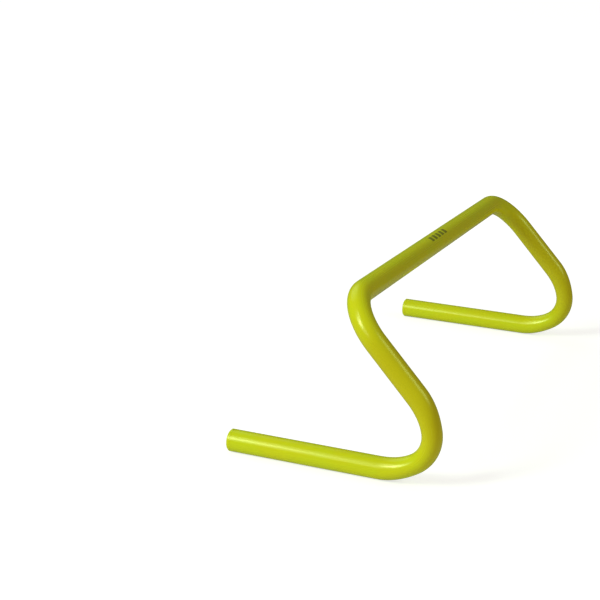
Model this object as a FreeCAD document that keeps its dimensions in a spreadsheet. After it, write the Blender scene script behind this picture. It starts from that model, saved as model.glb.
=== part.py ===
import FreeCAD, Part
import math
import os

import Sketcher
from FreeCAD import Placement, Rotation, Vector

# Speed hurdle: one bent plastic tube, closed by a push-in plug at the free end of each foot.
# The crossbar runs along X. From each of its ends a leg leans back and down to a heel, where the tube turns
# under itself and runs forward along the ground as a foot. The origin is on the ground, at the middle of the
# footprint: +X along the crossbar, +Y from the heels to the free ends of the feet, +Z up.

# Driving sizes, in millimetres, degrees and counts
SIZES = {
    # Whole hurdle
    "hurdle_width": 457.0,
    "hurdle_height": 152.0,
    "footprint_depth": 184.0,
    "leg_angle": 47.0,
    # Tube
    "tube_diameter": 19.0,
    "tube_wall": 1.8,
    "crossbar_bend_radius": 40.0,
    "tube_end_chamfer": 0.15,
    # Heels: a tight bend that flattens the tube, between two gentler bends that lead in and out of it
    "heel_bend_radius": 28.0,
    "heel_easing_radius": 58.0,
    "heel_easing_angle": 32.0,
    "heel_flattening": 0.12,
    # End plugs: a chamfered head on a hollow barrel, with fins that grip the tube's bore
    "head_thickness": 3.0,
    "head_chamfer": 1.2,
    "barrel_length": 16.0,
    "barrel_wall": 1.4,
    "barrel_lead_in": 0.5,
    "fin_count": 3,
    "fin_pitch": 4.4,
    "fin_height": 1.3,
    "fin_root": 1.6,
    "fin_tip": 0.6,
    "fin_setback": 2.4,
    "fin_clearance": 0.05,
}

# Sizes and places that follow from the driving sizes
DERIVED = {
    "tube_radius": "tube_diameter / 2",
    "bore_radius": "tube_radius - tube_wall",
    "crossbar_z": "hurdle_height - tube_radius",
    "leg_x": "hurdle_width / 2 - tube_radius",
    "heel_half_depth": "tube_radius * (1 - heel_flattening)",
    "easing_offset": "heel_easing_radius - heel_bend_radius",
    "heel_y": "heel_bend_radius + heel_half_depth - footprint_depth / 2",
    "heel_z": "tube_radius + heel_easing_radius - easing_offset * cos(heel_easing_angle)",
    "leg_join_turn": "leg_angle + heel_easing_angle",
    "foot_join_turn": "180 - heel_easing_angle",
    "leg_foot_y": "heel_y + easing_offset * sin(leg_join_turn) - heel_easing_radius * sin(leg_angle)",
    "leg_foot_z": "heel_z - easing_offset * cos(leg_join_turn) + heel_easing_radius * cos(leg_angle)",
    "leg_join_y": "heel_y - heel_bend_radius * sin(leg_join_turn)",
    "leg_join_z": "heel_z + heel_bend_radius * cos(leg_join_turn)",
    "foot_join_y": "heel_y - heel_bend_radius * sin(foot_join_turn)",
    "foot_join_z": "heel_z + heel_bend_radius * cos(foot_join_turn)",
    "foot_start_y": "heel_y + easing_offset * sin(foot_join_turn)",
    "leg_length": "(crossbar_z - leg_foot_z) / sin(leg_angle)",
    "crossbar_y": "leg_foot_y + leg_length * cos(leg_angle)",
    "tube_end_y": "footprint_depth / 2 - head_thickness",
    "fin_radius": "bore_radius - fin_clearance",
    "barrel_radius": "fin_radius - fin_height",
    "core_radius": "barrel_radius - barrel_wall",
}

# The points of a sketch line or arc, and a sketch's own origin
START, END, CENTRE = 1, 2, 3
SKETCH_ORIGIN = (-1, 1)
SKETCH_X_AXIS = -1


def make_sheet(doc):
    """Writes the sizes into a sheet, one named cell each."""
    sheet = doc.addObject("Spreadsheet::Sheet", "Sizes")
    formulas = {name: f"={formula}" for name, formula in DERIVED.items()}
    for row, (name, content) in enumerate({**SIZES, **formulas}.items(), start=1):
        sheet.set(f"A{row}", name)
        sheet.set(f"B{row}", str(content))
        sheet.setAlias(f"B{row}", name)
    doc.recompute()
    return sheet


def origin_feature(body, role):
    """Finds one of a body's own origin planes or axes."""
    return next(feature for feature in body.Origin.OriginFeatures if feature.Role == role)


def add_sketch(body, name, plane, turn=None, **offset):
    """Adds a sketch on an origin plane, moved along the plane's own axes and turned about its own x axis."""
    sketch = body.newObject("Sketcher::SketchObject", name)
    sketch.AttachmentSupport = (origin_feature(body, plane), [""])
    sketch.MapMode = "FlatFace"
    if turn:
        sketch.AttachmentOffset = Placement(Vector(), Rotation(Vector(1, 0, 0), sketch.evalExpression(turn)))
        sketch.setExpression("AttachmentOffset.Rotation.Angle", turn)
    for axis, formula in offset.items():
        sketch.setExpression(f"AttachmentOffset.Base.{axis}", formula)
    return sketch


def constrain(sketch, kind, *where):
    """Adds a constraint that has no size."""
    sketch.addConstraint(Sketcher.Constraint(kind, *where))


def dimension(sketch, name, formula, kind, *where):
    """Adds a named dimension and ties it to the sheet."""
    size = sketch.evalExpression(formula)
    index = sketch.addConstraint(Sketcher.Constraint(kind, *where, size))
    sketch.renameConstraint(index, name)
    sketch.setExpression(f"Constraints.{name}", formula)


def add_outline(sketch, points):
    """Draws a closed outline of straight lines, each held level or upright where it is drawn so."""
    lines = []
    for here, there in zip(points, points[1:] + points[:1]):
        line = sketch.addGeometry(Part.LineSegment(Vector(*here), Vector(*there)))
        if here[0] == there[0]:
            constrain(sketch, "Vertical", line)
        elif here[1] == there[1]:
            constrain(sketch, "Horizontal", line)
        lines.append(line)
    for line, following in zip(lines, lines[1:] + lines[:1]):
        constrain(sketch, "Coincident", line, END, following, START)
    return lines


def round_section(body, name, plane, **place):
    """Sketches the tube's round wall about the sketch's origin."""
    sketch = add_sketch(body, name, plane, **place)
    for side, formula in (("outside", "Sizes.tube_radius"), ("inside", "Sizes.bore_radius")):
        circle = sketch.addGeometry(Part.Circle(Vector(), Vector(0, 0, 1), sketch.evalExpression(formula)))
        constrain(sketch, "Coincident", circle, CENTRE, *SKETCH_ORIGIN)
        dimension(sketch, side, formula, "Radius", circle)
    return sketch


def flattened_section(body, name, plane, **place):
    """Sketches the wall where the heel's bend flattens it: as wide as the round tube, but not as deep."""
    sketch = add_sketch(body, name, plane, **place)
    for side, inset in (("outside", "0"), ("inside", "Sizes.tube_wall")):
        width = f"2 * (Sizes.tube_radius - {inset})"
        depth = f"2 * (Sizes.heel_half_depth - {inset})"
        half_width = Vector(sketch.evalExpression(width) / 2, 0)
        half_depth = Vector(0, sketch.evalExpression(depth) / 2)
        oval = sketch.addGeometry(Part.Ellipse(half_width, half_depth, Vector()))
        sketch.exposeInternalGeometry(oval)
        long_axis, short_axis = oval + 1, oval + 2
        constrain(sketch, "Coincident", oval, CENTRE, *SKETCH_ORIGIN)
        constrain(sketch, "Horizontal", long_axis)
        dimension(sketch, f"{side}_width", width, "Distance", long_axis)
        dimension(sketch, f"{side}_depth", depth, "Distance", short_axis)
    return sketch


def crossbar_path(body, sheet):
    """Sketches half the crossbar, its bend and the leg, in the plane that leans with the legs."""
    sketch = add_sketch(
        body, "crossbar_path", "XY_Plane", turn="Sizes.leg_angle", y="Sizes.crossbar_y", z="Sizes.crossbar_z"
    )
    bend = sheet.crossbar_bend_radius
    bend_start = Vector(sheet.leg_x - bend, 0)
    bend_end = Vector(sheet.leg_x, -bend)
    leg_foot = Vector(sheet.leg_x, -sheet.leg_length)
    bend_circle = Part.Circle(Vector(bend_start.x, bend_end.y), Vector(0, 0, 1), bend)
    bar = sketch.addGeometry(Part.LineSegment(Vector(), bend_start))
    corner = sketch.addGeometry(Part.ArcOfCircle(bend_circle, 0, math.pi / 2))
    leg = sketch.addGeometry(Part.LineSegment(bend_end, leg_foot))
    constrain(sketch, "Coincident", bar, START, *SKETCH_ORIGIN)
    constrain(sketch, "Horizontal", bar)
    constrain(sketch, "Vertical", leg)
    constrain(sketch, "Tangent", bar, END, corner, END)
    constrain(sketch, "Tangent", corner, START, leg, START)
    dimension(sketch, "bend_radius", "Sizes.crossbar_bend_radius", "Radius", corner)
    dimension(sketch, "half_width", "Sizes.leg_x", "DistanceX", *SKETCH_ORIGIN, leg, END)
    dimension(sketch, "leg_length", "Sizes.leg_length", "DistanceY", leg, END, *SKETCH_ORIGIN)
    return sketch, (bar, corner, leg)


def heel_path(body, sheet):
    """Sketches the heel's three bends and the foot about the middle of the tight bend, in one leg's plane."""
    sketch = add_sketch(body, "heel_path", "YZ_Plane", x="Sizes.heel_y", y="Sizes.heel_z", z="Sizes.leg_x")
    heel = Vector(sheet.heel_y, sheet.heel_z)
    foot_start = Vector(sheet.foot_start_y, sheet.tube_radius) - heel
    foot_end = Vector(sheet.tube_end_y, sheet.tube_radius) - heel
    turns = [math.radians(turn) for turn in (sheet.leg_angle, sheet.leg_join_turn, sheet.foot_join_turn, 180)]
    starts = [math.pi / 2 + turn for turn in turns]

    def arc(radius, centre, first):
        circle = Part.Circle(centre, Vector(0, 0, 1), radius)
        return sketch.addGeometry(Part.ArcOfCircle(circle, starts[first], starts[first + 1]))

    def easing_centre(turn):
        return Vector(math.sin(turn), -math.cos(turn)) * sheet.easing_offset

    leg_easing = arc(sheet.heel_easing_radius, easing_centre(turns[1]), 0)
    tight_bend = arc(sheet.heel_bend_radius, Vector(), 1)
    foot_easing = arc(sheet.heel_easing_radius, easing_centre(turns[2]), 2)
    foot = sketch.addGeometry(Part.LineSegment(foot_start, foot_end))
    constrain(sketch, "Coincident", tight_bend, CENTRE, *SKETCH_ORIGIN)
    constrain(sketch, "Horizontal", foot)
    constrain(sketch, "Tangent", leg_easing, END, tight_bend, START)
    constrain(sketch, "Tangent", tight_bend, END, foot_easing, START)
    constrain(sketch, "Tangent", foot_easing, END, foot, START)
    constrain(sketch, "Equal", leg_easing, foot_easing)
    dimension(sketch, "bend_radius", "Sizes.heel_bend_radius", "Radius", tight_bend)
    dimension(sketch, "easing_radius", "Sizes.heel_easing_radius", "Radius", leg_easing)
    for name, point in (
        ("leg_foot_y", (leg_easing, START)),
        ("leg_join_y", (tight_bend, START)),
        ("foot_join_y", (foot_easing, START)),
    ):
        dimension(sketch, name, f"Sizes.heel_y - Sizes.{name}", "DistanceX", *point, *SKETCH_ORIGIN)
    dimension(sketch, "tube_end_y", "Sizes.tube_end_y - Sizes.heel_y", "DistanceX", *SKETCH_ORIGIN, foot, END)
    return sketch, (leg_easing, tight_bend, foot_easing, foot)


def add_pipe(body, name, section, path, edges, end_section=None):
    """Runs the tube's wall along edges of a path, changing to the end section, if any, along the way."""
    pipe = body.newObject("PartDesign::AdditivePipe", name)
    pipe.Profile = section
    pipe.Spine = (path, [f"Edge{edge + 1}" for edge in edges])
    if end_section:
        pipe.Transformation = "Multisection"
        pipe.Sections = [end_section]
    return pipe


def heel_and_foot(body, sheet):
    """Runs the tube round one heel, flattened through the tight bend, and along the foot."""
    path, (leg_easing, tight_bend, foot_easing, foot) = heel_path(body, sheet)

    # The XZ plane faces -Y, so a place along Y is a negative offset
    def section(make, name, turn, y, z):
        return make(body, name, "XZ_Plane", turn=turn, x="Sizes.leg_x", y=f"Sizes.{z}", z=f"-Sizes.{y}")

    leg_foot = section(round_section, "leg_foot", "Sizes.leg_angle", "leg_foot_y", "leg_foot_z")
    leg_join = section(flattened_section, "leg_join", "Sizes.leg_join_turn", "leg_join_y", "leg_join_z")
    foot_join = section(flattened_section, "foot_join", "Sizes.foot_join_turn", "foot_join_y", "foot_join_z")
    foot_start = section(round_section, "foot_start", "180", "foot_start_y", "tube_radius")
    return [
        add_pipe(body, "leg_easing", leg_foot, path, [leg_easing], leg_join),
        add_pipe(body, "tight_bend", leg_join, path, [tight_bend]),
        add_pipe(body, "foot_easing", foot_join, path, [foot_easing], foot_start),
        add_pipe(body, "foot", foot_start, path, [foot]),
    ]


def make_tube(doc, sheet):
    """Bends one half of the tube run by run, then mirrors it across the middle of the crossbar."""
    body = doc.addObject("PartDesign::Body", "bent_tube")
    middle = round_section(body, "crossbar_middle", "YZ_Plane", x="Sizes.crossbar_y", y="Sizes.crossbar_z")
    crossbar_and_leg = add_pipe(body, "crossbar_and_leg", middle, *crossbar_path(body, sheet))
    lower_runs = heel_and_foot(body, sheet)

    mirror = body.newObject("PartDesign::Mirrored", "other_half")
    mirror.Originals = [crossbar_and_leg, *lower_runs]
    mirror.MirrorPlane = (origin_feature(body, "YZ_Plane"), [""])
    body.Tip = mirror
    doc.recompute()

    rims = body.newObject("PartDesign::Chamfer", "cut_end_rims")
    rims.Base = (mirror, round_edges_at(mirror.Shape, sheet.tube_end_y))
    rims.setExpression("Size", "Sizes.tube_end_chamfer")
    body.Tip = rims
    return body


def round_edges_at(shape, y, radius=None):
    """Names the circular edges square to Y at one place along it, all of them or those of one radius."""
    names = []
    for number, edge in enumerate(shape.Edges, start=1):
        if not isinstance(edge.Curve, Part.Circle):
            continue
        same_place = abs(edge.Curve.Center.y - y) < 0.001 and abs(edge.Curve.Axis.y) > 0.999
        if same_place and (radius is None or abs(edge.Curve.Radius - radius) < 0.001):
            names.append(f"Edge{number}")
    return names


def plug_profile(body, sheet):
    """Sketches half of the plug's head and hollow barrel, with the seat on the tube's end at y = 0."""
    sketch = add_sketch(body, "head_and_barrel", "XY_Plane")
    seat, inner_end = 0, -sheet.barrel_length
    top, rim, underside, side, mouth, _, floor, axis = add_outline(sketch, [
        (0, sheet.head_thickness),
        (sheet.tube_radius, sheet.head_thickness),
        (sheet.tube_radius, seat),
        (sheet.barrel_radius, seat),
        (sheet.barrel_radius, inner_end),
        (sheet.core_radius, inner_end),
        (sheet.core_radius, seat),
        (0, seat),
    ])
    constrain(sketch, "Coincident", axis, START, *SKETCH_ORIGIN)
    constrain(sketch, "PointOnObject", underside, START, SKETCH_X_AXIS)
    dimension(sketch, "head_thickness", "Sizes.head_thickness", "DistanceY", *SKETCH_ORIGIN, top, START)
    dimension(sketch, "head_radius", "Sizes.tube_radius", "DistanceX", *SKETCH_ORIGIN, rim, END)
    dimension(sketch, "barrel_radius", "Sizes.barrel_radius", "DistanceX", *SKETCH_ORIGIN, side, START)
    dimension(sketch, "core_radius", "Sizes.core_radius", "DistanceX", *SKETCH_ORIGIN, floor, START)
    dimension(sketch, "barrel_length", "Sizes.barrel_length", "DistanceY", mouth, END, *SKETCH_ORIGIN)
    return sketch


def fin_profile(body, sheet):
    """Sketches one fin: square towards the head, sloped towards the inner end, rooted in the barrel."""
    sketch = add_sketch(body, "fin_section", "XY_Plane")
    head_side = -sheet.fin_setback
    _, tip, slope, root = add_outline(sketch, [
        (sheet.core_radius, head_side),
        (sheet.fin_radius, head_side),
        (sheet.fin_radius, head_side - sheet.fin_tip),
        (sheet.core_radius, head_side - sheet.fin_root),
    ])
    dimension(sketch, "fin_setback", "Sizes.fin_setback", "DistanceY", tip, START, *SKETCH_ORIGIN)
    dimension(sketch, "fin_radius", "Sizes.fin_radius", "DistanceX", *SKETCH_ORIGIN, tip, START)
    dimension(sketch, "fin_tip", "Sizes.fin_tip", "DistanceY", tip, END, tip, START)
    dimension(sketch, "fin_root", "Sizes.fin_root", "DistanceY", root, START, root, END)
    dimension(sketch, "core_radius", "Sizes.core_radius", "DistanceX", *SKETCH_ORIGIN, slope, END)
    return sketch


def add_revolution(body, name, sketch):
    """Turns a half-section about the plug's own axis, its Y axis."""
    turned = body.newObject("PartDesign::Revolution", name)
    turned.Profile = sketch
    turned.ReferenceAxis = (sketch, ["V_Axis"])
    return turned


def make_plug(doc, sheet, name, leg_x):
    """Makes a plug about its own Y axis and seats its head on the tube's cut end."""
    body = doc.addObject("PartDesign::Body", name)
    add_revolution(body, "turned_body", plug_profile(body, sheet))
    fin = add_revolution(body, "fin", fin_profile(body, sheet))
    fins = body.newObject("PartDesign::LinearPattern", "fins")
    fins.Originals = [fin]
    fins.Direction = (origin_feature(body, "Y_Axis"), [""])
    fins.Reversed = True
    fins.Mode = "Spacing"
    fins.setExpression("Offset", "Sizes.fin_pitch")
    fins.setExpression("Occurrences", "Sizes.fin_count")
    body.Tip = fins
    doc.recompute()

    for feature, place, radius in (
        ("barrel_lead_in", -sheet.barrel_length, sheet.barrel_radius),
        ("head_chamfer", sheet.head_thickness, sheet.tube_radius),
    ):
        base = body.Tip
        chamfer = body.newObject("PartDesign::Chamfer", feature)
        chamfer.Base = (base, round_edges_at(base.Shape, place, radius))
        chamfer.setExpression("Size", f"Sizes.{feature}")
        body.Tip = chamfer
        doc.recompute()

    body.setExpression("Placement.Base.x", leg_x)
    body.setExpression("Placement.Base.y", "Sizes.tube_end_y")
    body.setExpression("Placement.Base.z", "Sizes.tube_radius")
    return body


def check(doc, bodies):
    """Stops if a feature failed or a piece isn't one sound solid."""
    for thing in doc.Objects:
        if "Invalid" in thing.State or "Error" in thing.State:
            raise RuntimeError(f"{thing.Name} failed: {thing.State}")
    for body in bodies:
        if body.Shape.isNull() or not body.Shape.isValid() or len(body.Shape.Solids) != 1:
            raise RuntimeError(f"{body.Label} isn't one valid solid")


def main():
    doc = FreeCAD.newDocument("speed_hurdle")
    sheet = make_sheet(doc)
    bodies = [
        make_tube(doc, sheet),
        make_plug(doc, sheet, "left_end_plug", "-Sizes.leg_x"),
        make_plug(doc, sheet, "right_end_plug", "Sizes.leg_x"),
    ]
    doc.recompute()
    check(doc, bodies)
    os.makedirs("parts", exist_ok=True)
    for body in bodies:
        body.Shape.exportStep(f"parts/{body.Label}.step")


main()
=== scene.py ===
"""Speed hurdle: the formed tube, the finish of tube and end plugs, and a white studio round them."""
import math
from typing import NamedTuple

import bmesh
import bpy
from mathutils import Matrix, Quaternion, Vector


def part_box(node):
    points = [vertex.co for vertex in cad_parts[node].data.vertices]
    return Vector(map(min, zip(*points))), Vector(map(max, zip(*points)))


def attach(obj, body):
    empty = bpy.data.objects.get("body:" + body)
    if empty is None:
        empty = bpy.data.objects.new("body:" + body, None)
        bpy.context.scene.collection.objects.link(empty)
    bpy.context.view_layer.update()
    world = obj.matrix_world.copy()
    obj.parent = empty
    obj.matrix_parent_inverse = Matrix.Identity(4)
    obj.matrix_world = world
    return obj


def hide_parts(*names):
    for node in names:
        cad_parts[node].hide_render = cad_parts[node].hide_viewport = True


bl_info = {
    "name": "Speed Hurdle",
    "version": (1, 0, 0),
    "blender": (4, 5, 0),
    "location": "3D View > Sidebar > Hurdle",
    "description": "Forms the tube of a speed hurdle, finishes its plastic and sets it in a studio",
    "category": "Object",
}

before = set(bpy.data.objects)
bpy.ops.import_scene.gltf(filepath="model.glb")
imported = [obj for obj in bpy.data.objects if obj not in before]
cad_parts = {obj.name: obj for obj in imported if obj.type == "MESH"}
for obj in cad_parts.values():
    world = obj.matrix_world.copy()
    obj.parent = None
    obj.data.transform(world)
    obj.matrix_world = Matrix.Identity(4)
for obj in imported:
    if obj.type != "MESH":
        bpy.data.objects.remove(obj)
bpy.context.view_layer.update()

# Sizes read from the frame, in metres
TUBE_LOW, TUBE_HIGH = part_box("bent_tube")
PLUG_LOW, PLUG_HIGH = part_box("left_end_plug")
TUBE_DIAMETER = PLUG_HIGH.x - PLUG_LOW.x

BODY = "root"
UNBENT_PLACE = "unbent_place"
PLUG_NODES = ("left_end_plug", "right_end_plug")


class TubeSettings(bpy.types.PropertyGroup):
    """Sizes of the tube and of its bends."""

    diameter: bpy.props.FloatProperty(
        name="Diameter", description="Outside diameter of the tube", default=TUBE_DIAMETER, unit="LENGTH"
    )
    wall: bpy.props.FloatProperty(
        name="Wall", description="Thickness of the tube's wall", default=0.0018, unit="LENGTH"
    )
    rim_chamfer: bpy.props.FloatProperty(
        name="Rim chamfer", description="Edge broken off the cut ends", default=0.00015, unit="LENGTH"
    )
    leg_angle: bpy.props.FloatProperty(
        name="Leg angle", description="Slope of the legs", default=math.radians(47), subtype="ANGLE"
    )
    crossbar_bend: bpy.props.FloatProperty(
        name="Crossbar bend", description="Radius of the bend from crossbar to leg", default=0.040,
        unit="LENGTH"
    )
    heel_bend: bpy.props.FloatProperty(
        name="Heel bend", description="Radius of the tight bend at the heel", default=0.028, unit="LENGTH"
    )
    easing_bend: bpy.props.FloatProperty(
        name="Easing bend", description="Radius of the gentler bends that lead in and out of the heel",
        default=0.058, unit="LENGTH"
    )
    easing_angle: bpy.props.FloatProperty(
        name="Easing angle", description="Turn that each gentler bend makes", default=math.radians(32),
        subtype="ANGLE"
    )
    heel_flattening: bpy.props.FloatProperty(
        name="Heel flattening", description="Part of its depth that the tube loses at the heel",
        default=0.12, subtype="FACTOR"
    )
    sides: bpy.props.IntProperty(name="Sides", description="Faces round the tube", default=72)
    ring_spacing: bpy.props.FloatProperty(
        name="Ring spacing", description="Most that one ring of points is from the next in a bend",
        default=0.002, unit="LENGTH"
    )


class FinishSettings(bpy.types.PropertyGroup):
    """Colours and gloss of the plastic, with a golden painted shade on its legs."""

    lime: bpy.props.FloatVectorProperty(
        name="Lime", description="Main colour of the tube", default=(0.555, 0.615, 0.008), subtype="COLOR"
    )
    yellow: bpy.props.FloatVectorProperty(
        name="Yellow", description="Colour that the lime drifts towards", default=(0.585, 0.60, 0.007),
        subtype="COLOR"
    )
    # Painted shade: a warmer, darker colour on the legs and heels that stands in for the golden hue they show
    # in shade
    golden_shade: bpy.props.FloatVectorProperty(
        name="Golden", description="Colour that the plastic takes on the legs", default=(0.553, 0.530, 0.007),
        subtype="COLOR"
    )
    rubbed: bpy.props.FloatVectorProperty(
        name="Rubbed", description="Colour of scuffed plastic", default=(0.62, 0.66, 0.12), subtype="COLOR"
    )
    ink: bpy.props.FloatVectorProperty(
        name="Ink", description="Colour of the printed bars", default=(0.02, 0.022, 0.018), subtype="COLOR"
    )
    gloss_tint: bpy.props.FloatVectorProperty(
        name="Gloss tint", description="Colour of the plastic's gloss", default=(1.0, 1.0, 0.5),
        subtype="COLOR"
    )
    tube_roughness: bpy.props.FloatProperty(
        name="Tube roughness", description="Roughness of clean tube", default=0.24, subtype="FACTOR"
    )
    plug_roughness: bpy.props.FloatProperty(
        name="Plug roughness", description="Roughness of the moulded plugs", default=0.24, subtype="FACTOR"
    )
    gloss_level: bpy.props.FloatProperty(
        name="Gloss level", description="Strength of the plastic's gloss", default=0.48, subtype="FACTOR"
    )


class StageSettings(bpy.types.PropertyGroup):
    """Camera, lamps and floor."""

    camera_place: bpy.props.FloatVectorProperty(
        name="Camera", description="Where the camera stands", default=(-1.26244, -0.40723, 0.47189),
        subtype="XYZ", unit="LENGTH"
    )
    camera_heading: bpy.props.FloatProperty(
        name="Heading", description="Direction of view, from +X towards +Y", default=math.radians(22.846),
        subtype="ANGLE"
    )
    camera_tilt: bpy.props.FloatProperty(
        name="Tilt", description="How far the camera looks down", default=math.radians(16.358),
        subtype="ANGLE"
    )
    camera_roll: bpy.props.FloatProperty(
        name="Roll", description="Turn of the camera about its view", default=math.radians(1.603),
        subtype="ANGLE"
    )
    focal_length: bpy.props.FloatProperty(
        name="Focal length", description="Lens, on a sensor 36 mm wide", default=88.856, unit="CAMERA"
    )
    floor_size: bpy.props.FloatProperty(
        name="Floor", description="Side of the square floor", default=24.0, unit="LENGTH"
    )
    mat_colour: bpy.props.FloatVectorProperty(
        name="Mat colour", description="Colour of the pale mat under the hurdle",
        default=(0.92, 0.92, 0.86), subtype="COLOR"
    )
    mat_margin: bpy.props.FloatProperty(
        name="Mat margin", description="How far the mat reaches beyond the feet", default=0.12,
        unit="LENGTH"
    )
    floor_colour: bpy.props.FloatVectorProperty(
        name="Floor colour", description="Colour of the floor round the mat",
        default=(0.66, 0.41, 0.33), subtype="COLOR"
    )
    shadow_colour: bpy.props.FloatVectorProperty(
        name="Shadow colour", description="Part of the floor's white that a shadow takes away",
        default=(0.5, 0.5, 0.5), subtype="COLOR"
    )
    near_glow: bpy.props.FloatProperty(
        name="Near glow", description="Part of the floor's white that no shadow takes away", default=0.68
    )
    far_glow: bpy.props.FloatProperty(
        name="Far glow", description="The same part, far from the hurdle", default=0.76
    )
    air: bpy.props.FloatVectorProperty(
        name="Air", description="Light from all round", default=(0.33, 0.245, 0.25), subtype="COLOR"
    )
    near_gloss: bpy.props.FloatProperty(
        name="Near gloss", description="Part of the white that gloss shows beside the hurdle",
        default=0.23, subtype="FACTOR"
    )
    far_gloss: bpy.props.FloatProperty(
        name="Far gloss", description="Part of the white that gloss shows far from the hurdle",
        default=0.05, subtype="FACTOR"
    )
    fade_reach: bpy.props.FloatProperty(
        name="Fade reach", description="How far beyond the feet gloss and glow turn from near to far",
        default=0.6, unit="LENGTH"
    )


# Nodes

def feed(tree, socket, value):
    """Links a socket to the value if that is another node's socket, and sets it otherwise."""
    if isinstance(value, bpy.types.NodeSocket):
        tree.links.new(value, socket)
    else:
        socket.default_value = value


def add_node(tree, kind, sockets=None, **settings):
    """Adds a node with its settings, and feeds its sockets."""
    node = tree.nodes.new(kind)
    for name, value in settings.items():
        setattr(node, name, value)
    for name, value in (sockets or {}).items():
        feed(tree, node.inputs[name], value)
    return node


def calculate(tree, operation, *values, clamp=False):
    """Adds a Math node and gives its result."""
    node = add_node(tree, "ShaderNodeMath", dict(enumerate(values)), operation=operation, use_clamp=clamp)
    return node.outputs["Value"]


def measure(tree, operation, *values, result="Vector"):
    """Adds a Vector Math node and gives its result."""
    node = add_node(tree, "ShaderNodeVectorMath", dict(enumerate(values)), operation=operation)
    return node.outputs[result]


def remap(tree, value, old, new, smooth=True):
    """Maps a value from one range to another and holds it there."""
    kind = "SMOOTHSTEP" if smooth else "LINEAR"
    sockets = {"Value": value, "From Min": old[0], "From Max": old[1], "To Min": new[0], "To Max": new[1]}
    return add_node(tree, "ShaderNodeMapRange", sockets, interpolation_type=kind).outputs["Result"]


def mix_colours(tree, share, first, second):
    """Mixes two colours, each a socket or four numbers."""
    node = add_node(tree, "ShaderNodeMix", data_type="RGBA")
    inputs = {socket.identifier: socket for socket in node.inputs}
    feed(tree, inputs["Factor_Float"], share)
    feed(tree, inputs["A_Color"], first)
    feed(tree, inputs["B_Color"], second)
    return next(socket for socket in node.outputs if socket.identifier == "Result_Color")


def noise(tree, place, stretch, detail=2.0):
    """Noise with so many grains to the metre along each axis."""
    mapping = add_node(tree, "ShaderNodeMapping", {"Vector": place, "Scale": stretch})
    sockets = {"Vector": mapping.outputs["Vector"], "Scale": 1.0, "Detail": detail}
    return add_node(tree, "ShaderNodeTexNoise", sockets).outputs["Fac"]


def new_material(name):
    """Makes an empty material and its output."""
    material = bpy.data.materials.new(name)
    material.use_nodes = True
    material.node_tree.nodes.clear()
    output = add_node(material.node_tree, "ShaderNodeOutputMaterial")
    return material, material.node_tree, output


def opaque(colour):
    """Adds full opacity to a colour."""
    return (*colour, 1.0)


# Finishes

BAR_COUNT = 5
BAR_PITCH = 0.009
BAR_LENGTH = 0.006
BAR_HEIGHT = 0.0058
BAR_EDGE = 0.0002
BAR_TURN = math.radians(66)
# Length over which the legs' painted shade fades in and out
GOLDEN_SHADE_FADE = 0.02


def printed_bars(tree, place, radius):
    """Masks a row of plain bars at the middle of the crossbar, on its upper back side."""
    parts = add_node(tree, "ShaderNodeSeparateXYZ", {"Vector": place})
    along = parts.outputs["X"]
    back = calculate(tree, "MULTIPLY", parts.outputs["Y"], -1.0)
    turn = calculate(tree, "ARCTAN2", parts.outputs["Z"], back)
    across = calculate(tree, "MULTIPLY", calculate(tree, "SUBTRACT", turn, BAR_TURN), radius)
    from_middle = calculate(tree, "PINGPONG", along, BAR_PITCH / 2)
    half_row = BAR_COUNT * BAR_PITCH / 2
    half_height = BAR_HEIGHT / 2
    half_bar = BAR_LENGTH / 2
    in_row = remap(tree, calculate(tree, "ABSOLUTE", along), (half_row, half_row + BAR_EDGE), (1, 0))
    in_height = remap(
        tree, calculate(tree, "ABSOLUTE", across), (half_height - BAR_EDGE, half_height + BAR_EDGE), (1, 0)
    )
    in_bar = remap(tree, from_middle, (half_bar - BAR_EDGE, half_bar + BAR_EDGE), (1, 0))
    return calculate(tree, "MULTIPLY", calculate(tree, "MULTIPLY", in_row, in_height), in_bar)


def legs_shade_share(tree, place, run):
    """Is 1 where the legs' golden painted shade lies, from the ends of the crossbar's bends to the middles of
    the heels, and 0 elsewhere.
    """
    parts = add_node(tree, "ShaderNodeSeparateXYZ", {"Vector": place})
    along = calculate(tree, "ABSOLUTE", parts.outputs["X"])
    top, _, heel, _ = run.bends
    leg = top.start + top.length
    middle = heel.start + heel.length / 2
    past_bend = remap(tree, along, (leg - GOLDEN_SHADE_FADE, leg + GOLDEN_SHADE_FADE), (0, 1))
    above_heel = remap(tree, along, (middle - GOLDEN_SHADE_FADE, middle + GOLDEN_SHADE_FADE), (1, 0))
    return calculate(tree, "MULTIPLY", past_bend, above_heel)


def glossy_plastic(tree, finish, colour, roughness, bump):
    """Adds the shader that both plastics share, with the gloss of the finish."""
    return add_node(tree, "ShaderNodeBsdfPrincipled", {
        "Base Color": colour,
        "Roughness": roughness,
        "Specular IOR Level": finish.gloss_level,
        "Specular Tint": opaque(finish.gloss_tint),
        "Normal": bump.outputs["Normal"],
    })


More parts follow.
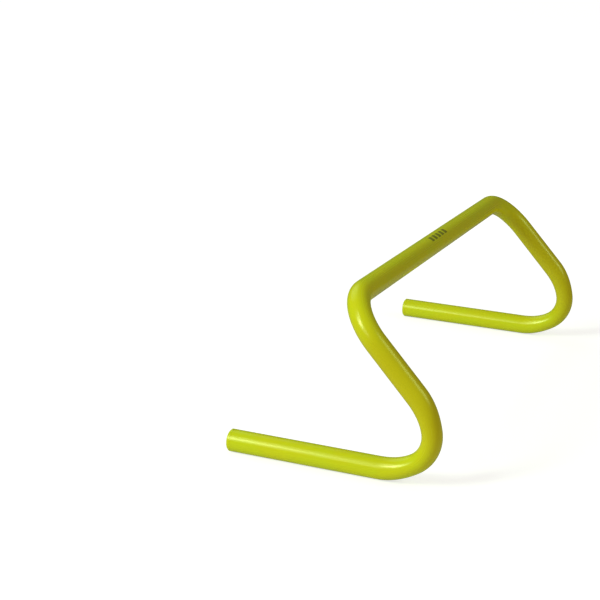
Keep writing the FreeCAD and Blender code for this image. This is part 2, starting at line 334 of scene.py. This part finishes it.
def tube_plastic(finish, run):
    """Glossy extruded plastic: lime that drifts to yellow, a golden painted shade on the legs, lines drawn
    along it, and rubs underneath.
    """
    material, tree, output = new_material("extruded_lime_plastic")
    unbent = add_node(tree, "ShaderNodeAttribute", attribute_name=UNBENT_PLACE).outputs["Vector"]
    place = add_node(tree, "ShaderNodeTexCoord").outputs["Object"]
    height = add_node(tree, "ShaderNodeSeparateXYZ", {"Vector": place}).outputs["Z"]

    drift = remap(tree, noise(tree, unbent, (38, 90, 90)), (0.35, 0.65), (0, 1))
    lines = noise(tree, unbent, (7, 800, 800))
    grain = noise(tree, unbent, (900, 900, 900))
    scratches = remap(tree, noise(tree, unbent, (60, 2400, 2400), 3.0), (0.66, 0.74), (0, 1))
    near_ground = remap(tree, height, (0.0005, 0.004), (1, 0))
    patches = remap(tree, noise(tree, unbent, (220, 500, 500)), (0.4, 0.6), (0, 1))
    rubs = calculate(tree, "MULTIPLY", near_ground, patches)
    worn = calculate(tree, "MAXIMUM", rubs, calculate(tree, "MULTIPLY", scratches, 0.12))
    ink_wear = remap(tree, noise(tree, unbent, (1500, 1500, 1500)), (0.3, 0.5), (0.35, 0.7))
    bars = printed_bars(tree, unbent, run.tube.diameter / 2)
    ink = calculate(tree, "MULTIPLY", bars, ink_wear)

    fresh = mix_colours(tree, drift, opaque(finish.lime), opaque(finish.yellow))
    # Painted shade: the legs and upper heels take the golden colour that they show in shade
    base = mix_colours(tree, legs_shade_share(tree, unbent, run), fresh, opaque(finish.golden_shade))
    darker = opaque([0.8 * part for part in finish.lime])
    shaded = mix_colours(tree, remap(tree, lines, (0.3, 0.7), (0, 0.10)), base, darker)
    scuffed = mix_colours(tree, calculate(tree, "MULTIPLY", worn, 0.5), shaded, opaque(finish.rubbed))
    colour = mix_colours(tree, ink, scuffed, opaque(finish.ink))

    clean = remap(
        tree, lines, (0.3, 0.7), (finish.tube_roughness - 0.02, finish.tube_roughness + 0.04), smooth=False
    )
    roughness = calculate(tree, "ADD", clean, calculate(tree, "MULTIPLY", worn, 0.3))
    relief = calculate(tree, "ADD", lines, calculate(tree, "MULTIPLY", grain, 0.4))
    bump = add_node(tree, "ShaderNodeBump", {"Strength": 0.015, "Distance": 0.0001, "Height": relief})
    shader = glossy_plastic(tree, finish, colour, roughness, bump)
    tree.links.new(shader.outputs["BSDF"], output.inputs["Surface"])
    return material


def plug_plastic(finish):
    """Moulded plastic in the tube's lime, with a fine spark-eroded grain."""
    material, tree, output = new_material("moulded_lime_plastic")
    place = add_node(tree, "ShaderNodeTexCoord").outputs["Object"]
    drift = remap(tree, noise(tree, place, (120, 120, 120)), (0.35, 0.65), (0, 1))
    grain = noise(tree, place, (2600, 2600, 2600), 3.0)
    colour = mix_colours(tree, drift, opaque(finish.lime), opaque(finish.yellow))
    roughness = remap(
        tree, grain, (0.3, 0.7), (finish.plug_roughness - 0.05, finish.plug_roughness + 0.08), smooth=False
    )
    bump = add_node(tree, "ShaderNodeBump", {"Strength": 0.2, "Distance": 0.00005, "Height": grain})
    shader = glossy_plastic(tree, finish, colour, roughness, bump)
    tree.links.new(shader.outputs["BSDF"], output.inputs["Surface"])
    return material


# Tube

class Bend(NamedTuple):
    """A bend of the right half: where it starts along the straight tube, and the turn that it makes."""

    start: float
    radius: float
    angle: float
    heading: Vector
    axis: Vector
    centre: Vector

    @property
    def length(self):
        """Length of straight tube that the bend takes up."""
        return self.radius * self.angle

    def share(self, along):
        """How much of the bend lies before a place along the tube."""
        return min(max((along - self.start) / self.length, 0.0), 1.0)

    def place(self, along):
        """Moves a ring of the tube that runs straight on to where the bend puts it."""
        share = self.share(along)
        back = Matrix.Translation(self.heading * -self.length * share)
        turn = Matrix.Rotation(self.angle * share, 4, self.axis)
        return Matrix.Translation(self.centre) @ turn @ Matrix.Translation(-self.centre) @ back


class TubeRun:
    """Where the tube's straight runs and bends lie, worked out from the CAD box and the bends' sizes."""

    def __init__(self, tube):
        self.tube = tube
        radius = tube.diameter / 2
        along_bar = Vector((1, 0, 0))

        # Centres of the heel's bends
        leg_join = tube.leg_angle + tube.easing_angle
        foot_join = math.pi - tube.easing_angle
        offset = tube.easing_bend - tube.heel_bend
        heel_depth = radius * (1 - tube.heel_flattening)
        heel = Vector((
            TUBE_HIGH.x - radius,
            TUBE_LOW.y + heel_depth + tube.heel_bend,
            TUBE_LOW.z + radius + tube.easing_bend - offset * math.cos(tube.easing_angle),
        ))
        leg_centre = heel - self.outward(leg_join) * offset
        foot_centre = heel - self.outward(foot_join) * offset

        # Corner where the lines of the leg and the crossbar would meet
        leg_foot = leg_centre + self.outward(tube.leg_angle) * tube.easing_bend
        down_leg = self.heading(tube.leg_angle)
        crossbar_z = TUBE_HIGH.z - radius
        corner = leg_foot + down_leg * ((crossbar_z - leg_foot.z) / down_leg.z)
        half_bar = corner.x - tube.crossbar_bend
        leg_length = (leg_foot - corner).length - tube.crossbar_bend

        # Bends in order, from the crossbar to the foot
        self.axis_place = Vector((0, corner.y, corner.z))
        self.flat_way = along_bar.cross(down_leg)
        top_centre = self.axis_place + along_bar * half_bar + down_leg * tube.crossbar_bend
        top = Bend(half_bar, tube.crossbar_bend, math.pi / 2, along_bar, self.flat_way, top_centre)
        self.bends = [top]
        start = half_bar + top.length + leg_length
        for bend_radius, first, last, centre in (
            (tube.easing_bend, tube.leg_angle, leg_join, leg_centre),
            (tube.heel_bend, leg_join, foot_join, heel),
            (tube.easing_bend, foot_join, math.pi, foot_centre),
        ):
            bend = Bend(start, bend_radius, last - first, self.heading(first), along_bar, centre)
            self.bends.append(bend)
            start += bend.length
        self.half_length = start + TUBE_HIGH.y - foot_centre.y

    @staticmethod
    def heading(turn):
        """Direction of the tube in a leg's plane, once it has turned so far from running back along Y."""
        return Vector((0, -math.cos(turn), -math.sin(turn)))

    @staticmethod
    def outward(turn):
        """Direction from a heel bend's centre to the tube, at the same turn."""
        return Vector((0, -math.sin(turn), math.cos(turn)))

    def flattening(self, along):
        """Squeezes a ring of the straight tube by as much as the heel flattens it."""
        _, lead_in, _, lead_out = self.bends
        share = min(lead_in.share(along), 1 - lead_out.share(along))
        eased = share * share * (3 - 2 * share)
        squeeze = Matrix.Scale(1 - self.tube.heel_flattening * eased, 4, self.flat_way)
        return Matrix.Translation(self.axis_place) @ squeeze @ Matrix.Translation(-self.axis_place)

    def place(self, along):
        """Moves a ring of the straight tube's right half to where it is on the hurdle."""
        place = self.flattening(along)
        for bend in self.bends:
            place = bend.place(along) @ place
        return place

    def stations(self):
        """Places of the rings along the right half: close together in the bends, and none between them."""
        places = []
        for bend in self.bends:
            steps = math.ceil(bend.length / self.tube.ring_spacing)
            places += [bend.start + bend.length * step / steps for step in range(steps + 1)]
        return sorted({round(place, 6) for place in places})


def straight_tube(run):
    """Turns the section of the wall about the crossbar's line."""
    tube = run.tube
    outside = tube.diameter / 2
    inside = outside - tube.wall
    chamfer = tube.rim_chamfer
    end = run.half_length
    half = run.stations()
    along = [-place for place in reversed(half)] + half
    section = [
        (-end, outside - chamfer), (chamfer - end, outside),
        *((x, outside) for x in along),
        (end - chamfer, outside), (end, outside - chamfer),
        (end, inside + chamfer), (end - chamfer, inside),
        *((x, inside) for x in reversed(along)),
        (chamfer - end, inside), (-end, inside + chamfer),
    ]
    mesh = bmesh.new()
    corners = [mesh.verts.new(run.axis_place + Vector((x, 0, z))) for x, z in section]
    outline = [mesh.edges.new(pair) for pair in zip(corners, corners[1:] + corners[:1])]
    bmesh.ops.spin(
        mesh, geom=corners + outline, cent=run.axis_place, axis=(1, 0, 0), angle=2 * math.pi,
        steps=tube.sides, use_merge=True
    )
    bmesh.ops.remove_doubles(mesh, verts=mesh.verts, dist=1e-6)
    bmesh.ops.recalc_face_normals(mesh, faces=mesh.faces)
    return mesh


def note_unbent_place(mesh, run):
    """Keeps where each point lies on the straight tube, so that patterns follow it round its bends."""
    layer = mesh.verts.layers.float_vector.new(UNBENT_PLACE)
    for vert in mesh.verts:
        vert[layer] = vert.co - run.axis_place


def bend_tube(mesh, run):
    """Bends the straight tube ring by ring, the left half as the right half's mirror image."""
    rings = {}
    for vert in mesh.verts:
        rings.setdefault(round(vert.co.x, 6), []).append(vert)
    for along, ring in rings.items():
        mirror = Matrix.Diagonal((math.copysign(1, along), 1, 1, 1))
        bmesh.ops.transform(mesh, matrix=mirror @ run.place(abs(along)) @ mirror, verts=ring)


def finished_object(mesh, name, material, sharp_angle=math.radians(30)):
    """Makes an object of a bmesh, smooth but for its sharp edges."""
    for face in mesh.faces:
        face.smooth = True
    for edge in mesh.edges:
        edge.smooth = edge.calc_face_angle(0.0) < sharp_angle
    data = bpy.data.meshes.new(name)
    mesh.to_mesh(data)
    mesh.free()
    data.materials.append(material)
    piece = bpy.data.objects.new(name, data)
    bpy.context.scene.collection.objects.link(piece)
    return piece


class HURDLE_OT_form_tube(bpy.types.Operator):
    """Bends the hurdle's tube from a straight one and finishes it in glossy lime plastic"""

    bl_idname = "hurdle.form_tube"
    bl_label = "Form Tube"

    def execute(self, context):
        run = TubeRun(context.scene.hurdle_tube)
        mesh = straight_tube(run)
        note_unbent_place(mesh, run)
        bend_tube(mesh, run)
        material = tube_plastic(context.scene.hurdle_finish, run)
        piece = finished_object(mesh, "formed_tube", material)
        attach(piece, BODY)
        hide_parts("bent_tube")
        return {"FINISHED"}


class HURDLE_OT_finish_plugs(bpy.types.Operator):
    """Finishes both end plugs in moulded lime plastic"""

    bl_idname = "hurdle.finish_plugs"
    bl_label = "Finish Plugs"

    def execute(self, context):
        material = plug_plastic(context.scene.hurdle_finish)
        for name in PLUG_NODES:
            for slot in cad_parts[name].material_slots:
                slot.material = material
        return {"FINISHED"}


# Stage

FLOOR_GAP = 0.0001
KEY_DISTANCE = 3.0
SUN_DISTANCE = 3.0


class Lamp(NamedTuple):
    """A soft lamp: its bearing from -X towards +Y, height and width in degrees, light and distance."""

    name: str
    bearing: float
    height: float
    width: float
    strength: float
    colour: tuple
    distance: float = math.inf


LAMPS = (
    Lamp("key_lamp", 36, 30, 22, 1.47, (0.80, 1.0, 0.82), KEY_DISTANCE),
    Lamp("key_core", 36, 30, 9, 0.60, (0.80, 1.0, 0.82), KEY_DISTANCE),
    Lamp("low_lamp", 16, 22, 9, 0.18, (1.0, 1.0, 1.0)),
    Lamp("high_lamp", 46, 49, 9, 0.26, (0.85, 1.0, 0.92)),
    Lamp("window_lamp", 125, 40, 40, 0.36, (0.65, 1.0, 0.65)),
    Lamp("side_lamp", -95, 36, 24, 0.62, (0.73, 1.0, 0.65)),
)


def seen_directly(tree):
    """Is 1 for rays from the camera and for what gloss or glass shows, and 0 for scattered light."""
    path = add_node(tree, "ShaderNodeLightPath").outputs
    shown = calculate(tree, "ADD", path["Is Camera Ray"], path["Is Glossy Ray"], clamp=True)
    return calculate(tree, "ADD", shown, path["Is Transmission Ray"], clamp=True)


def whiteness(tree, in_gloss):
    """Is 1 for rays from the camera, and less for what shows in gloss."""
    path = add_node(tree, "ShaderNodeLightPath").outputs
    return calculate(tree, "MAXIMUM", path["Is Camera Ray"], in_gloss)


def mix_shaders(tree, share, first, second):
    """Mixes two shaders and gives the result."""
    node = add_node(tree, "ShaderNodeMixShader", {"Fac": share})
    tree.links.new(first, node.inputs[1])
    tree.links.new(second, node.inputs[2])
    return node.outputs["Shader"]


def beyond_footprint(tree, place):
    """Distance along the floor from the hurdle's footprint, or 0 under it."""
    half_x = (TUBE_HIGH.x - TUBE_LOW.x) / 2
    half_y = (TUBE_HIGH.y - TUBE_LOW.y) / 2
    away = measure(tree, "ABSOLUTE", place)
    past = measure(tree, "SUBTRACT", away, (half_x, half_y, 0))
    outside = measure(tree, "MAXIMUM", past, (0, 0, 0))
    return measure(tree, "LENGTH", outside, result="Value")


def floor_material(stage):
    """Pale floor that shows white, with the object's shadow on it."""
    material, tree, output = new_material("studio_floor")
    place = add_node(tree, "ShaderNodeTexCoord").outputs["Object"]
    beyond = beyond_footprint(tree, place)
    near = remap(tree, beyond, (0.0, stage.mat_margin), (1, 0))
    matted = mix_colours(tree, near, opaque(stage.floor_colour), opaque(stage.mat_colour))
    scattering = add_node(tree, "ShaderNodeBsdfDiffuse", {"Color": matted})
    in_gloss = remap(tree, beyond, (0.0, stage.fade_reach), (stage.near_gloss, stage.far_gloss))
    white = whiteness(tree, in_gloss)
    shaded = mix_colours(tree, white, (0.0, 0.0, 0.0, 1.0), opaque(stage.shadow_colour))
    shading = add_node(tree, "ShaderNodeBsdfDiffuse", {"Color": shaded})
    unshaded = remap(tree, beyond, (0.0, stage.fade_reach), (stage.near_glow, stage.far_glow))
    strength = calculate(tree, "MULTIPLY", white, unshaded)
    glow = add_node(tree, "ShaderNodeEmission", {"Strength": strength})
    shown = add_node(tree, "ShaderNodeAddShader")
    tree.links.new(shading.outputs["BSDF"], shown.inputs[0])
    tree.links.new(glow.outputs["Emission"], shown.inputs[1])
    surface = mix_shaders(tree, seen_directly(tree), scattering.outputs["BSDF"], shown.outputs["Shader"])
    tree.links.new(surface, output.inputs["Surface"])
    return material


def lay_floor(stage):
    """Lays the floor just under the feet."""
    mesh = bmesh.new()
    bmesh.ops.create_grid(mesh, x_segments=1, y_segments=1, size=stage.floor_size / 2)
    bmesh.ops.translate(mesh, verts=mesh.verts, vec=(0, 0, TUBE_LOW.z - FLOOR_GAP))
    finished_object(mesh, "floor", floor_material(stage))


def fill_air(stage):
    """Gives even light from all round, and shows a white backdrop, dimmer in gloss."""
    world = bpy.data.worlds.new("studio_air")
    world.use_nodes = True
    tree = world.node_tree
    tree.nodes.clear()
    air = add_node(tree, "ShaderNodeBackground", {"Color": opaque(stage.air)})
    backdrop = add_node(tree, "ShaderNodeBackground", {
        "Color": (1.0, 1.0, 1.0, 1.0),
        "Strength": whiteness(tree, stage.far_gloss),
    })
    around, behind = air.outputs["Background"], backdrop.outputs["Background"]
    surface = mix_shaders(tree, seen_directly(tree), around, behind)
    output = add_node(tree, "ShaderNodeOutputWorld")
    tree.links.new(surface, output.inputs["Surface"])
    bpy.context.scene.world = world


def direction(bearing, height):
    """Unit vector towards a bearing from -X towards +Y and a height above the floor, in degrees."""
    turn, lift = math.radians(bearing), math.radians(height)
    return Vector((-math.cos(turn) * math.cos(lift), math.sin(turn) * math.cos(lift), math.sin(lift)))


def far_lamp(lamp):
    """Makes a lamp as a soft sun, so that its light is even over the floor."""
    data = bpy.data.lights.new(lamp.name, "SUN")
    data.energy = lamp.strength
    data.angle = math.radians(lamp.width)
    return data


def near_lamp(lamp):
    """Makes a lamp as a round softbox, as strong as a sun at the hurdle's middle and weaker beyond it."""
    data = bpy.data.lights.new(lamp.name, "AREA")
    data.shape = "DISK"
    data.size = 2 * lamp.distance * math.tan(math.radians(lamp.width / 2))
    data.energy = math.pi * lamp.distance ** 2 * lamp.strength
    return data


def hang_lamp(lamp):
    """Hangs one lamp, facing the hurdle."""
    is_far = math.isinf(lamp.distance)
    data = far_lamp(lamp) if is_far else near_lamp(lamp)
    data.color = lamp.colour
    holder = bpy.data.objects.new(lamp.name, data)
    towards = direction(lamp.bearing, lamp.height)
    holder.location = towards * (SUN_DISTANCE if is_far else lamp.distance)
    holder.rotation_euler = (-towards).to_track_quat("-Z", "Y").to_euler()
    holder.visible_camera = False
    bpy.context.scene.collection.objects.link(holder)


def place_camera(stage):
    """Sets the camera where the picture was taken from."""
    data = bpy.data.cameras.new("camera")
    data.lens = stage.focal_length
    camera = bpy.data.objects.new("camera", data)
    heading, tilt = stage.camera_heading, stage.camera_tilt
    view = Vector((math.cos(heading) * math.cos(tilt), math.sin(heading) * math.cos(tilt), -math.sin(tilt)))
    turn = view.to_track_quat("-Z", "Y") @ Quaternion((0, 0, 1), stage.camera_roll)
    camera.location = stage.camera_place
    camera.rotation_euler = turn.to_euler()
    bpy.context.scene.collection.objects.link(camera)
    bpy.context.scene.camera = camera


class HURDLE_OT_set_stage(bpy.types.Operator):
    """Lays the floor, hangs the lamps and places the camera"""

    bl_idname = "hurdle.set_stage"
    bl_label = "Set Stage"

    def execute(self, context):
        stage = context.scene.hurdle_stage
        lay_floor(stage)
        fill_air(stage)
        for lamp in LAMPS:
            hang_lamp(lamp)
        place_camera(stage)
        context.scene.view_settings.view_transform = "Standard"
        return {"FINISHED"}


class HURDLE_PT_sidebar(bpy.types.Panel):
    """Settings of the hurdle and the operators that make it"""

    bl_idname = "HURDLE_PT_sidebar"
    bl_label = "Speed Hurdle"
    bl_space_type = "VIEW_3D"
    bl_region_type = "UI"
    bl_category = "Hurdle"

    def draw(self, context):
        for settings, operators in PANEL_ROWS:
            group = getattr(context.scene, settings)
            box = self.layout.box()
            for name in group.__annotations__:
                box.prop(group, name)
            for operator in operators:
                box.operator(operator)


PANEL_ROWS = (
    ("hurdle_tube", ("hurdle.form_tube",)),
    ("hurdle_finish", ("hurdle.finish_plugs",)),
    ("hurdle_stage", ("hurdle.set_stage",)),
)
SETTINGS = {"hurdle_tube": TubeSettings, "hurdle_finish": FinishSettings, "hurdle_stage": StageSettings}
OPERATORS = (HURDLE_OT_form_tube, HURDLE_OT_finish_plugs, HURDLE_OT_set_stage)
CLASSES = (*SETTINGS.values(), *OPERATORS, HURDLE_PT_sidebar)


def register():
    """Registers the classes and adds their settings to the scene."""
    for cls in CLASSES:
        bpy.utils.register_class(cls)
    for name, group in SETTINGS.items():
        setattr(bpy.types.Scene, name, bpy.props.PointerProperty(type=group))


def unregister():
    """Takes away what register added."""
    for name in SETTINGS:
        delattr(bpy.types.Scene, name)
    for cls in reversed(CLASSES):
        bpy.utils.unregister_class(cls)


def main():
    """Makes the hurdle and its stage."""
    register()
    bpy.ops.hurdle.form_tube()
    bpy.ops.hurdle.finish_plugs()
    bpy.ops.hurdle.set_stage()


if __name__ == "__main__":
    main()
